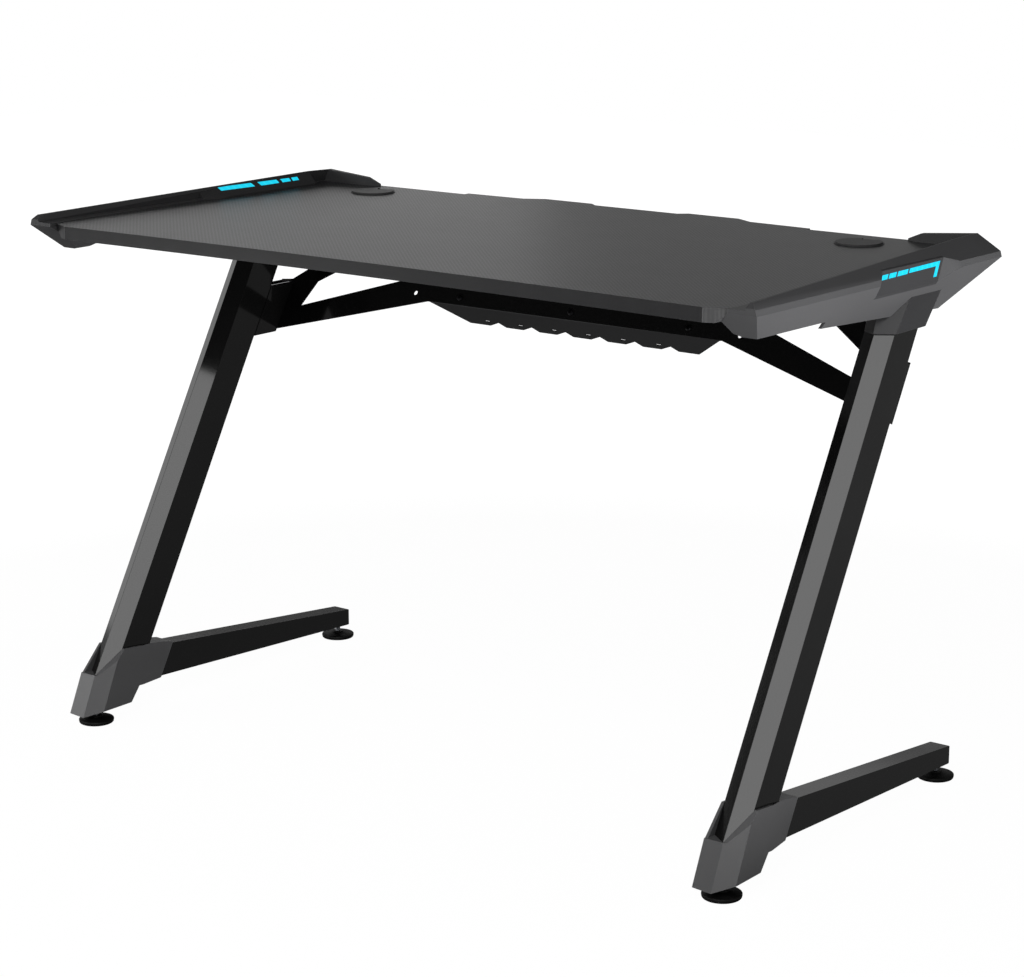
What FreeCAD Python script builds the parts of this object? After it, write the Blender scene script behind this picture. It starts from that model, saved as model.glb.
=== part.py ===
"""Gaming desk with Z legs, lit side wings and levelling feet, built as separate pieces.

Millimetres, +X to the desk's right, +Y to the rear, +Z up, origin on the floor under the middle.
Every piece of a pair is modelled on the right and mirrored to the left, except that both legs
and their shoes are the same mouldings, so those are only shifted.
"""
import FreeCAD, Part
import math
import os

Vector = FreeCAD.Vector
X_AXIS = Vector(1, 0, 0)
Z_AXIS = Vector(0, 0, 1)
CENTRE = Vector(0, 0, 0)

# Clearances
seat_gap = 0.2
screw_gap = 0.25
press_gap = 0.05
running_gap = 0.06
flat_limit = 1e-6

# Construction: long cutters, their overshoot, and how far joined solids run into each other
reach = 1000.0
spare = 5.0
overlap = 0.5

# Board
table_height = 735.0
board_thickness = 18.0
board_half_width = 575.0
board_bottom = table_height - board_thickness
board_front = -317.0
front_corner_x_inset = 47.3
front_corner_x = board_half_width - front_corner_x_inset
front_bow = 12.0
front_chamfer_slope = 0.43
corner_notch_x_inset = 17.5
corner_notch_x = board_half_width - corner_notch_x_inset
corner_notch_y_offset = 25.0
corner_notch_y = board_front + corner_notch_y_offset
rear_side = 286.0
rear_step = 10.0
rear_step_x = 300.0
rear_shelf_x = 200.0
rear_shelf_rise = 4.0
tongue_x = 170.0
tongue_rear_offset = 31.0
tongue_rear = rear_side + tongue_rear_offset
notch_outer_x = 85.0
notch_inner_x = 72.0
notch_depth = 11.0

# Cable outlets
grommet_x_inset = 152.0
grommet_x = board_half_width - grommet_x_inset
grommet_y_inset = 68.0
grommet_y = rear_side - grommet_y_inset
grommet_hole_radius = 30.0
grommet_flange_radius_offset = 3.5
grommet_flange_radius = grommet_hole_radius + grommet_flange_radius_offset
grommet_flange_height = 1.0
grommet_wall = 2.0
grommet_depth_drop = 2.0
grommet_depth = board_thickness - grommet_depth_drop
cap_lip_inset = 2.0
cap_height = 1.5
cap_spigot_depth = 8.0
cap_spigot_wall = 2.0
cap_notch_radius = 11.0

# Legs
leg_x_inset = 30.0
leg_x = board_half_width - leg_x_inset
leg_width = 44.0
leg_nose = 15.0
leg_depth = 59.5
leg_ridge_at_floor = -316.5
leg_ridge_at_top = 85.71
leg_wall = 1.5
top_plate_thickness = 4.0
leg_top = board_bottom - top_plate_thickness
leg_lean = (leg_ridge_at_top - leg_ridge_at_floor) / leg_top
leg_heel_at_floor = leg_ridge_at_floor + leg_nose + leg_depth
leg_bottom = 24.0
base_plate_thickness = 4.0
top_plate_inner_x_inset = 67.0
top_plate_inner_x = leg_x - top_plate_inner_x_inset
top_plate_outer_x_offset = 25.0
top_plate_outer_x = leg_x + top_plate_outer_x_offset
top_plate_margin = 20.0
plate_screw_edge = 12.0
plate_screw_pitch = 20.0

# Feet
foot_width = 30.0
foot_wall = 1.5
foot_rear = 271.0
foot_rear_bottom = 20.0
foot_rear_top = 45.5
foot_front_offset = 82.0
foot_front = leg_heel_at_floor + foot_front_offset
foot_front_bottom = 42.5
foot_front_top = 91.0
end_cap_thickness = 2.5
end_cap_plug = 2.0
front_pad_y_offset = 39.5
front_pad_y = leg_ridge_at_floor + front_pad_y_offset
rear_pad_y_inset = 11.0
rear_pad_y = foot_rear - rear_pad_y_inset
pad_radius = 25.5
pad_height = 6.0
pad_shoulder = 3.0
pad_neck_radius = 9.0
pad_neck_height = 10.5
stud_radius = 4.0
stud_top = 39.0
stud_bottom = 4.0
insert_radius = 5.5
insert_height = 12.0
rear_insert_rise = 1.0

# Knee and top covers
knee_wall = 4.0
knee_skin = 2.0
knee_end_wall = 2.5
knee_sole_wall = 1.2
knee_nose_at_floor_offset = 5.65
knee_nose_at_floor = leg_ridge_at_floor + knee_nose_at_floor_offset
knee_lean_change = 0.1149
knee_lean = leg_lean - knee_lean_change
knee_ridge_shift = 2.0
knee_cheek_depth = 14.25
knee_ridge_bottom = 13.0
knee_flat_bottom = 14.5
knee_slant_bottom = 22.5
knee_heel_y_offset = 12.0
knee_heel_y = leg_heel_at_floor + knee_heel_y_offset
knee_arch_y_offset = 29.0
knee_arch_y = leg_heel_at_floor + knee_arch_y_offset
knee_top_front = 71.0
knee_top_side = 107.0
knee_top_rear_drop = 6.0
knee_end_bottom_y = foot_front
knee_end_top_y_offset = 110.0
knee_end_top_y = leg_heel_at_floor + knee_end_top_y_offset
knee_taper_start_y_offset = 37.0
knee_taper_start_y = leg_heel_at_floor + knee_taper_start_y_offset
knee_bore_gap = 2.0
top_cover_wall = 3.0
top_cover_flare = 8.0
top_cover_rear_wall = 14.0
top_cover_inner_inset = 2.0
top_cover_bottom_drop = 84.0
top_cover_bottom = table_height - top_cover_bottom_drop
top_cover_top_drop = 32.0
top_cover_top = table_height - top_cover_top_drop

# Brace
brace_lean_change = 0.0201
brace_lean = leg_lean + brace_lean_change
brace_at_floor_offset = 36.8
brace_at_floor = leg_heel_at_floor + brace_at_floor_offset
sheet = 2.0
rail_bottom_drop = 139.0
rail_bottom = table_height - rail_bottom_drop
rail_corner_x = 257.0
rail_top_corner_x_inset = 20.0
rail_top_corner_x = rail_corner_x - rail_top_corner_x_inset
rail_height = 46.0
arm_bottom_drop = 70.0
arm_bottom = rail_bottom - arm_bottom_drop
arm_fork_top_drop = 29.0
arm_fork_top = rail_bottom - arm_fork_top_drop
brace_end_x_offset = 1.0
brace_end_x = leg_x + brace_end_x_offset
arm_fork_x_inset = 54.0
arm_fork_x = brace_end_x - arm_fork_x_inset
brace_hole_x_offset = 26.5
brace_hole_x = rail_corner_x + brace_hole_x_offset
brace_hole_z_rise = 9.0
brace_hole_z = rail_bottom + brace_hole_z_rise
brace_hole_radius = 3.5
upper_arm_knee_x_inset = 71.0
upper_arm_knee_x = brace_end_x - upper_arm_knee_x_inset
upper_arm_knee_z_rise = 7.0
upper_arm_knee_z = rail_bottom + upper_arm_knee_z_rise
upper_arm_inner_x_inset = 277.0
upper_arm_inner_x = brace_end_x - upper_arm_inner_x_inset
upper_arm_outer_x_inset = 194.0
upper_arm_outer_x = brace_end_x - upper_arm_outer_x_inset
upper_arm_heel_x_inset = 21.0
upper_arm_heel_x = brace_end_x - upper_arm_heel_x_inset
upper_arm_end_z_rise = 4.0
upper_arm_end_z = rail_bottom + upper_arm_end_z_rise
upper_arm_heel_z_rise = 6.0
upper_arm_heel_z = rail_bottom + upper_arm_heel_z_rise
bracket_width = 24.0
bracket_wall = 2.5
bracket_bottom_rise = 1.0
bracket_bottom = arm_bottom + bracket_bottom_rise
bracket_top_drop = 1.0
bracket_top = upper_arm_end_z - bracket_top_drop
low_bolt_rise = 20.0
high_bolt_rise = 14.0
board_flange = 24.0
flange_screw_edge = 9.0
flange_screw_inset = 16.0

# Cable comb
comb_sheet = 1.5
comb_top_x_inset = 3.0
comb_top_x = rail_corner_x - comb_top_x_inset
comb_bottom_x_inset = 53.0
comb_bottom_x = comb_top_x - comb_bottom_x_inset
comb_drop = 30.0
comb_flange = 22.0
comb_flange_taper = 10.0
comb_notches = 6
comb_pitch = 60.3
comb_offset = -3.0
comb_notch_lead = 20.0
comb_notch_back = 9.0
comb_notch_depth = 10.0
comb_slot_length = 9.0
comb_slot_width = 3.0
comb_slot_inset = 9.0
comb_screw_x = 200.0
comb_screw_rise = 10.0
comb_screw_length = 8.0

# Side wings
wing_front_offset = 3.0
wing_front = board_front + wing_front_offset
wing_crown_inset = 53.0
wing_crown = rear_side - wing_crown_inset
wing_rear_inset = 3.0
wing_rear = rear_side - wing_rear_inset
wing_outer_x_offset = 25.0
wing_outer_x = board_half_width + wing_outer_x_offset
wing_edge_bevel = 2.0
wing_base_front_x_inset = 15.0
wing_base_front_x = board_half_width - wing_base_front_x_inset
wing_base_rear_x_inset = 6.0
wing_base_rear_x = board_half_width - wing_base_rear_x_inset
wing_base_lip = 0.8
wing_foot_rise = 1.4
foot_line_front_x_offset = 9.0
foot_line_front_x = board_half_width + foot_line_front_x_offset
foot_line_rear_x_offset = 0.4
foot_line_rear_x = wing_base_rear_x + foot_line_rear_x_offset
ridge_flat_front = 4.0
ridge_flat_rear = 1.5
ridge_front_x_offset = 16.5
ridge_front_x = board_half_width + ridge_front_x_offset
ridge_front_rise = 10.4
ridge_crown_x_inset = 8.0
ridge_crown_x = board_half_width - ridge_crown_x_inset
ridge_crown_rise = 20.0
ridge_rear_x_inset = 11.5
ridge_rear_x = board_half_width - ridge_rear_x_inset
ridge_rear_rise = 18.8
shoulder_front_rise = 3.0
shoulder_rear_rise = -1.5
bevel_front_drop = -4.5
bevel_rear_drop = -9.0
side_slope = 0.667
skirt_wall = 3.6
skirt_bottom_drop = 71.0
skirt_bottom = table_height - skirt_bottom_drop
skirt_front_z_drop = 38.5
skirt_front_z = table_height - skirt_front_z_drop
skirt_front_y_offset = 43.0
skirt_front_y = board_front + skirt_front_y_offset
skirt_step_y_offset = 199.0
skirt_step_y = board_front + skirt_step_y_offset
skirt_step_top_drop = 41.0
skirt_step_top = table_height - skirt_step_top_drop
skirt_step_bottom_drop = 50.0
skirt_step_bottom = table_height - skirt_step_bottom_drop
skirt_tail_y_inset = 85.0
skirt_tail_y = rear_side - skirt_tail_y_inset
under_lip = 3.0
nose_face_top_rise = 4.5
nose_face_bottom_drop = 4.0
nose_inner_x_inset = 33.0
nose_inner_x = board_half_width - nose_inner_x_inset
nose_sole_x_inset = 19.0
nose_sole_x = board_half_width - nose_sole_x_inset
nose_sole_bevel = 4.0
nose_sole_shift = 4.0
nose_sole_length = 70.0
return_start_x_offset = 8.0
return_start_x = ridge_rear_x + return_start_x_offset
return_start_drop = 8.0
return_end_x_inset = 113.0
return_end_x = board_half_width - return_end_x_inset
return_bend_x_inset = 91.0
return_bend_x = board_half_width - return_bend_x_inset
return_front_inset = 12.0
return_front = rear_side - return_front_inset
return_bend_rise = 12.0
return_end_rise = 3.0
return_end_front_inset = 6.0
return_end_front = rear_side - return_end_front_inset
wing_screw_x_inset = 1.0
wing_screw_x = wing_base_rear_x - wing_screw_x_inset
wing_screw_sole_gap = 9.0
wing_screw_front_row = wing_front_offset + nose_sole_length + wing_screw_sole_gap
wing_screw_front_rows = (wing_screw_front_row, 257.0)
wing_screw_rear_rows = (76.0, 24.0)

# Wing lights, the outer ones measured from the pocket's front and the inner ones from the crown
pocket_x_offset = 13.5
pocket_x = board_half_width + pocket_x_offset
pocket_front_y_inset = 332.3
pocket_front_y = rear_side - pocket_front_y_inset
pocket_front_lean = 32.0
pocket_front_slope = 1.35
pocket_rear_y_inset = 175.4
pocket_rear_y = rear_side - pocket_rear_y_inset
pocket_facet_y_inset = 105.0
pocket_facet_y = rear_side - pocket_facet_y_inset
bezel_thickness = 2.5
led_board_thickness = 1.6
led_board_margin = 14.0
light_top_rise = 2.7
light_band = 6.0
light_squares = ((37.6, 52.1), (55.6, 73.1), (77.1, 102.1))
light_bar = (106.1, 183.3)
light_bar_band = 5.5
light_leg_width = 8.0
light_leg_drop = 19.0
inner_bezel_ramp_y_inset = 234.0
inner_bezel_ramp_y = wing_crown - inner_bezel_ramp_y_inset
inner_bezel_front_y_inset = 202.0
inner_bezel_front_y = wing_crown - inner_bezel_front_y_inset
inner_bezel_ramp_x_inset = 1.5
inner_bezel_ramp_x = wing_base_rear_x - inner_bezel_ramp_x_inset
inner_bezel_base_x_inset = 24.0
inner_bezel_base_x = board_half_width - inner_bezel_base_x_inset
inner_bezel_back_x_inset = 2.0
inner_bezel_back_x = board_half_width - inner_bezel_back_x_inset
inner_bezel_step = 2.5
inner_bezel_top_drop = 1.5
inner_bezel_back_drop = 6.0
inner_light_bottom_rise = 10.0
inner_light_bottom = table_height + inner_light_bottom_rise
inner_light_top_rise = 14.5
inner_light_top = table_height + inner_light_top_rise
inner_led_depth = 6.0
inner_lights = ((-197.0, -129.0), (-116.0, -77.0), (-69.0, -50.0), (-45.5, -31.5))

# Fasteners
screw_radius = 2.25
screw_head_radius = 4.75
screw_head_height = 2.6
screw_bite = 13.0
bolt_radius = 3.0
bolt_head_radius = 5.5
bolt_head_height = 3.2
bolt_length = 9.0


def closed_wire(points):
    """Straight-sided closed wire through the points."""
    return Part.makePolygon(list(points) + [points[0]])


def prism(points, sweep):
    """Solid swept straight from a flat polygon."""
    return Part.Face(closed_wire(points)).extrude(sweep)


def facets(corners):
    """One flat face through four corners, or two triangles where they are not in one plane."""
    first, second, third, fourth = corners
    normal = (second - first).cross(third - first)
    if normal.Length > flat_limit and abs(normal.normalize().dot(fourth - first)) < flat_limit:
        return [Part.Face(closed_wire(corners))]
    return [Part.Face(closed_wire([first, second, third])), Part.Face(closed_wire([first, third, fourth]))]


def ruled(sections):
    """Solid with flat facets between flat polygons of equal count."""
    faces = [Part.Face(closed_wire(sections[0])), Part.Face(closed_wire(sections[-1]))]
    for near, far in zip(sections, sections[1:]):
        for i in range(len(near)):
            j = (i + 1) % len(near)
            faces += facets([near[i], near[j], far[j], far[i]])
    solid = Part.Solid(Part.Shell(faces))
    if solid.Volume < 0:
        solid.reverse()
    return solid


def rod(start, direction, radius, length):
    """Round bar from a point along a direction."""
    return Part.makeCylinder(radius, length, start, direction)


def box(low, high):
    """Block between two opposite corners."""
    size = high - low
    return Part.makeBox(size.x, size.y, size.z, low)


def mirrored(shape):
    """The same piece on the other side of the desk."""
    return shape.mirror(CENTRE, X_AXIS)


def group(shapes):
    """Several loose solids kept in one node."""
    return Part.makeCompound(shapes)


def save(name, shape):
    """Write one node."""
    shape.exportStep("parts/" + name + ".step")


def save_pair(name, shape):
    """Write a right-hand node and its mirror image."""
    save(name + "_right", shape)
    save(name + "_left", mirrored(shape))


def save_twins(name, shape):
    """Write a right-hand node and the same piece again on the left."""
    save(name + "_right", shape)
    twin = shape.copy()
    twin.translate(X_AXIS * (-2 * leg_x))
    save(name + "_left", twin)


def leg_ridge_y(z):
    """Where the leg's front ridge stands at a height."""
    return leg_ridge_at_floor + leg_lean * z


def leg_rear_y(z):
    """Where the leg's rear face stands at a height."""
    return leg_ridge_y(z) + leg_nose + leg_depth


def leg_outline(z, grow=0.0):
    """Five-sided leg section in a level plane, grown outwards on every side."""
    half = leg_width / 2 + grow
    nose_angle = math.atan2(leg_nose, leg_width / 2)
    tip = leg_ridge_y(z) - grow / math.cos(nose_angle)
    cheek = tip + half * math.tan(nose_angle)
    rear = leg_rear_y(z) + grow
    return [
        Vector(leg_x, tip, z),
        Vector(leg_x + half, cheek, z),
        Vector(leg_x + half, rear, z),
        Vector(leg_x - half, rear, z),
        Vector(leg_x - half, cheek, z),
    ]


def leg_bar(low, high, grow=0.0):
    """Solid bar with the leg's lean and section between two heights."""
    return prism(leg_outline(low, grow), Vector(0, leg_lean * (high - low), high - low))


def foot_bottom_z(y):
    """Height of the foot's underside."""
    share = (y - foot_front) / (foot_rear - foot_front)
    return foot_front_bottom + share * (foot_rear_bottom - foot_front_bottom)


def foot_top_z(y):
    """Height of the foot's top."""
    share = (y - foot_front) / (foot_rear - foot_front)
    return foot_front_top + share * (foot_rear_top - foot_front_top)


def foot_section(y, grow=0.0):
    """Upright section of the tapered foot."""
    half = foot_width / 2 + grow
    low = foot_bottom_z(y) - grow
    high = foot_top_z(y) + grow
    return [
        Vector(leg_x - half, y, low),
        Vector(leg_x + half, y, low),
        Vector(leg_x + half, y, high),
        Vector(leg_x - half, y, high),
    ]


def foot_bar(front, rear, grow=0.0):
    """Solid bar with the foot's taper between two places."""
    return ruled([foot_section(front, grow), foot_section(rear, grow)])


def brace_y(z):
    """Front face of the leaning brace sheet at a height."""
    return brace_at_floor + brace_lean * z


brace_normal = Vector(0, 1, -brace_lean).normalize()


def brace_sheet(points, thickness=sheet, offset=0.0):
    """Flat piece in the plane of the brace from points of x and height."""
    shift = brace_normal * offset
    return prism([Vector(x, brace_y(z), z) + shift for x, z in points], brace_normal * thickness)


def brace_hole(x, z, radius):
    """Drill through the brace at a place."""
    start = Vector(x, brace_y(z), z) - brace_normal * spare
    return rod(start, brace_normal, radius, 2 * spare + sheet)


def board_outline(grow=0.0):
    """Plan of the board from the right half, mirrored to the left."""
    chamfer_y = board_front + (corner_notch_x - front_corner_x) * front_chamfer_slope
    shoulder_y = corner_notch_y + corner_notch_x_inset
    shelf = rear_side + rear_step
    right = [
        (front_corner_x, board_front - grow),
        (corner_notch_x + grow, chamfer_y - grow),
        (corner_notch_x + grow, corner_notch_y - grow),
        (board_half_width + grow, shoulder_y - grow),
        (board_half_width + grow, rear_side + grow),
        (rear_step_x, rear_side + grow),
        (rear_step_x, shelf + grow),
        (rear_shelf_x, shelf + rear_shelf_rise + grow),
        (tongue_x, tongue_rear + grow),
        (notch_outer_x, tongue_rear + grow),
        (notch_inner_x, tongue_rear - notch_depth + grow),
    ]
    left = [(-x, y) for x, y in reversed(right)]
    return right + left


def board_block(grow=0.0):
    """The board's block, grown in plan for the wings' channels."""
    points = [Vector(x, y, board_bottom) for x, y in board_outline(grow)]
    return prism(points, Vector(0, 0, board_thickness))


def front_arc():
    """Segment taken off the board's front edge, which bows in between its corners."""
    radius = (front_corner_x ** 2 + front_bow ** 2) / (2 * front_bow)
    centre = Vector(0, board_front + front_bow - radius, board_bottom - spare)
    return rod(centre, Z_AXIS, radius, board_thickness + 2 * spare)


def corner_cut(gap=0.0):
    """Slanted cut under the board's front corner, where the wing's nose comes up."""
    start = board_front - spare
    low = board_bottom - spare
    top = table_height - nose_face_bottom_drop + gap
    outline = [
        (nose_inner_x - gap, low),
        (nose_inner_x - gap, board_bottom),
        (wing_base_front_x, top),
        (wing_base_front_x + spare, top),
        (wing_base_front_x + spare, low),
    ]
    return prism([Vector(x, start, z) for x, z in outline], Vector(0, corner_notch_y - start, 0))


def side_x(z):
    """Undercut outer side of the wing at a height."""
    bevel_bottom = table_height + bevel_front_drop
    return wing_outer_x - wing_edge_bevel + side_slope * (z - bevel_bottom)


def wing_section(y, base_x, foot_x, flat, ridge_x, ridge_rise, shoulder_rise, bevel_drop):
    """Upright section of the wing: lip, flange, inner wall, flat ridge, top face, bevel, skirt."""
    lip_bottom = board_bottom - under_lip
    points = [
        (base_x, lip_bottom),
        (base_x, table_height + wing_base_lip),
        (foot_x, table_height + wing_foot_rise),
        (ridge_x - flat, table_height + ridge_rise),
        (ridge_x, table_height + ridge_rise),
        (wing_outer_x - wing_edge_bevel, table_height + shoulder_rise),
        (wing_outer_x, table_height + bevel_drop),
        (side_x(skirt_bottom), skirt_bottom),
        (side_x(skirt_bottom) - skirt_wall, skirt_bottom),
        (side_x(lip_bottom) - skirt_wall, lip_bottom),
    ]
    return [Vector(x, y, z) for x, z in points]


def wing_body():
    """Wing before the pocket, the board channel and the leg opening are cut."""
    crest = ruled([
        wing_section(wing_front, wing_base_front_x, foot_line_front_x, ridge_flat_front,
                     ridge_front_x, ridge_front_rise, shoulder_front_rise, bevel_front_drop),
        wing_section(wing_crown, wing_base_rear_x, foot_line_rear_x, ridge_flat_rear,
                     ridge_crown_x, ridge_crown_rise, shoulder_rear_rise, bevel_rear_drop),
        wing_section(wing_rear, wing_base_rear_x, foot_line_rear_x, ridge_flat_rear,
                     ridge_rear_x, ridge_rear_rise, shoulder_rear_rise, bevel_rear_drop),
    ])
    face_bottom = table_height - nose_face_bottom_drop
    below = prism([
        Vector(0, wing_front - spare, 0),
        Vector(0, wing_front - spare, face_bottom),
        Vector(0, wing_front, face_bottom),
        Vector(0, skirt_front_y, skirt_front_z),
        Vector(0, skirt_step_y, skirt_step_top),
        Vector(0, skirt_step_y, skirt_step_bottom),
        Vector(0, skirt_tail_y, skirt_bottom),
        Vector(0, wing_rear, table_height + bevel_rear_drop),
        Vector(0, wing_rear + spare, table_height + bevel_rear_drop),
        Vector(0, wing_rear + spare, 0),
    ], X_AXIS * reach)
    nose_top = table_height + nose_face_top_rise
    above = prism([
        Vector(0, wing_front - spare, nose_top - spare),
        Vector(0, wing_front - spare, nose_top + ridge_crown_rise),
        Vector(0, wing_front + ridge_crown_rise, nose_top + ridge_crown_rise),
    ], X_AXIS * reach)
    return crest.fuse(nose_sole()).cut(below).cut(above).fuse(return_arm()).removeSplitter()


def nose_sole():
    """Front end of the wing below the board: a block that closes the board's corner."""
    face_bottom = table_height - nose_face_bottom_drop
    outer = [
        (nose_inner_x, board_bottom),
        (wing_base_front_x, face_bottom),
        (side_x(face_bottom), face_bottom),
        (side_x(skirt_front_z), skirt_front_z),
        (nose_sole_x, skirt_front_z),
        (nose_inner_x + nose_sole_shift, skirt_front_z + nose_sole_bevel),
    ]
    return prism([Vector(x, wing_front, z) for x, z in outer], Vector(0, nose_sole_length, 0))


def return_arm():
    """Low arm of the wing along the board's rear edge."""
    def section(x, front, rise):
        return [
            Vector(x, front, table_height),
            Vector(x, wing_rear, table_height),
            Vector(x, wing_rear, table_height + rise),
            Vector(x, front, table_height + rise),
        ]
    return ruled([
        section(return_start_x, return_front, ridge_rear_rise - return_start_drop),
        section(ridge_rear_x, return_front, ridge_rear_rise),
        section(return_bend_x, return_front, return_bend_rise),
        section(return_end_x, return_end_front, return_end_rise),
    ])


def pocket_lean(z):
    """How far the pocket's upright ends lean to the rear at a height."""
    return pocket_front_lean * (z - skirt_bottom) / (table_height - skirt_bottom)


def pocket_block():
    """Space of the outer light pocket: upright floor, leaning front end, slanted rear facet."""
    outside = wing_outer_x + spare
    facet_slope = (pocket_facet_y - pocket_rear_y) / (wing_outer_x - pocket_x)
    rear_outside = pocket_facet_y + spare * facet_slope

    def level(z):
        lean = pocket_lean(z)
        return [
            Vector(pocket_x, pocket_front_y + lean, z),
            Vector(pocket_x, pocket_rear_y + lean, z),
            Vector(outside, rear_outside, z),
            Vector(outside, pocket_front_y + lean - (outside - pocket_x) * pocket_front_slope, z),
        ]
    return ruled([level(skirt_bottom), level(table_height + 2 * ridge_crown_rise)])


def panel_block():
    """Plate set into the floor of the outer light pocket."""
    low = skirt_bottom
    high = table_height + 2 * ridge_crown_rise
    return prism([
        Vector(pocket_x, pocket_front_y + pocket_lean(low), low),
        Vector(pocket_x, pocket_rear_y + pocket_lean(low), low),
        Vector(pocket_x, pocket_rear_y + pocket_lean(high), high),
        Vector(pocket_x, pocket_front_y + pocket_lean(high), high),
    ], X_AXIS * -bezel_thickness)


def outer_light_blocks():
    """Lights through the outer panel: three squares and an L."""
    back = pocket_x - bezel_thickness

    def slab(corners):
        return prism([Vector(back, y, z) for y, z in corners], X_AXIS * bezel_thickness)

    def band(y_low, y_high, height):
        low = pocket_front_y + y_low
        high = pocket_front_y + y_high
        shift = height * lean_rate
        return slab([(low - shift, top - height), (high - shift, top - height), (high, top), (low, top)])

    lean_rate = pocket_front_lean / (table_height - skirt_bottom)
    top = table_height + light_top_rise
    squares = [band(start, end, light_band) for start, end in light_squares]
    start, end = light_bar
    end_y = pocket_front_y + end
    leg_shift = light_leg_drop * lean_rate
    leg = slab([
        (end_y - light_leg_width, top),
        (end_y, top),
        (end_y - leg_shift, top - light_leg_drop),
        (end_y - light_leg_width - leg_shift, top - light_leg_drop),
    ])
    return squares + [band(start, end, light_bar_band).fuse(leg).removeSplitter()]


def inner_light_wedge():
    """Sloped panel let into the inner side of the wing."""
    def section(y, base_x):
        share = (y - wing_front) / (wing_crown - wing_front)
        ridge_x = ridge_front_x + share * (ridge_crown_x - ridge_front_x)
        ridge_z = table_height + ridge_front_rise + share * (ridge_crown_rise - ridge_front_rise)
        return [
            Vector(base_x, y, table_height),
            Vector(base_x, y, table_height + inner_bezel_step),
            Vector(ridge_x - inner_bezel_top_drop, y, ridge_z - inner_bezel_top_drop),
            Vector(inner_bezel_back_x, y, ridge_z - inner_bezel_back_drop),
            Vector(inner_bezel_back_x, y, table_height),
        ]
    return ruled([
        section(inner_bezel_ramp_y, inner_bezel_ramp_x),
        section(inner_bezel_front_y, inner_bezel_base_x),
        section(wing_crown, inner_bezel_base_x),
    ])


def knee_form(top, inset=0.0):
    """Front of the shoe from the floor up: flat on one side of its ridge, slanted on the other."""
    half = leg_width / 2 + seat_gap + knee_wall
    slope = knee_cheek_depth / (half - knee_ridge_shift)
    slant_inset = inset / math.cos(math.atan(slope))

    def level(z):
        front = knee_nose_at_floor + knee_lean * z
        ridge_x = leg_x + knee_ridge_shift + (inset - slant_inset) / slope
        cheek = front + slant_inset + slope * (half - inset - knee_ridge_shift)
        return [
            Vector(leg_x - half + inset, front + inset, z),
            Vector(ridge_x, front + inset, z),
            Vector(leg_x + half - inset, cheek, z),
            Vector(leg_x + half - inset, front + reach, z),
            Vector(leg_x - half + inset, front + reach, z),
        ]
    return ruled([level(0), level(top)])


def leg_space(low, high, gap):
    """Lower end of the leg as it stands inside the shoe, its nose cut back behind the shoe's front."""
    return leg_bar(low, high, gap).common(knee_form(high, knee_skin + seat_gap - gap))


def knee_shell():
    """Moulded shoe round the corner of leg and foot."""
    half = leg_width / 2 + seat_gap + knee_wall
    end_grow = knee_end_wall + seat_gap
    sole_grow = knee_sole_wall + seat_gap
    end_half = foot_width / 2 + end_grow
    ceiling = knee_top_side + spare
    front = knee_nose_at_floor - spare
    profile = prism([
        Vector(0, front, knee_ridge_bottom),
        Vector(0, front, knee_top_front),
        Vector(0, leg_ridge_y(knee_top_front), knee_top_front),
        Vector(0, leg_ridge_y(knee_top_side) + leg_nose, knee_top_side),
        Vector(0, leg_rear_y(knee_top_side), knee_top_side - knee_top_rear_drop),
        Vector(0, knee_end_top_y, foot_top_z(knee_end_top_y) + end_grow),
        Vector(0, knee_end_bottom_y, foot_bottom_z(knee_end_bottom_y) - sole_grow),
        Vector(0, knee_arch_y, foot_bottom_z(knee_arch_y) - sole_grow),
        Vector(0, knee_heel_y, knee_slant_bottom),
        Vector(0, knee_heel_y, knee_ridge_bottom),
    ], X_AXIS * reach)
    plan = prism([
        Vector(leg_x + half, front, 0),
        Vector(leg_x + half, knee_taper_start_y, 0),
        Vector(leg_x + end_half, knee_end_bottom_y, 0),
        Vector(leg_x + end_half, knee_end_top_y + spare, 0),
        Vector(leg_x - end_half, knee_end_top_y + spare, 0),
        Vector(leg_x - end_half, knee_end_bottom_y, 0),
        Vector(leg_x - half, knee_taper_start_y, 0),
        Vector(leg_x - half, front, 0),
    ], Vector(0, 0, ceiling))
    sole = prism([
        Vector(leg_x + knee_ridge_shift, front, knee_ridge_bottom),
        Vector(leg_x + half, front, knee_slant_bottom),
        Vector(leg_x + half, front, ceiling),
        Vector(leg_x - half, front, ceiling),
        Vector(leg_x - half, front, knee_flat_bottom),
    ], Vector(0, knee_end_top_y + spare - front, 0))
    shell = profile.common(plan).common(sole).common(knee_form(ceiling))
    shell = shell.cut(leg_space(leg_bottom - seat_gap, ceiling, seat_gap))
    cheek_inner = leg_x - leg_width / 2 - seat_gap
    shell = shell.cut(prism([
        Vector(cheek_inner, front, knee_top_front),
        Vector(cheek_inner, leg_ridge_y(knee_top_front) + leg_nose, knee_top_front),
        Vector(cheek_inner, leg_ridge_y(ceiling) + leg_nose, ceiling),
        Vector(cheek_inner, front, ceiling),
    ], X_AXIS * (leg_x - cheek_inner)))
    shell = shell.cut(foot_bar(leg_rear_y(leg_bottom) - spare, knee_end_top_y + spare, seat_gap))
    bore = rod(Vector(leg_x, front_pad_y, 0), Z_AXIS, pad_neck_radius + knee_bore_gap, leg_bottom + overlap)
    return shell.cut(bore)


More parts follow.
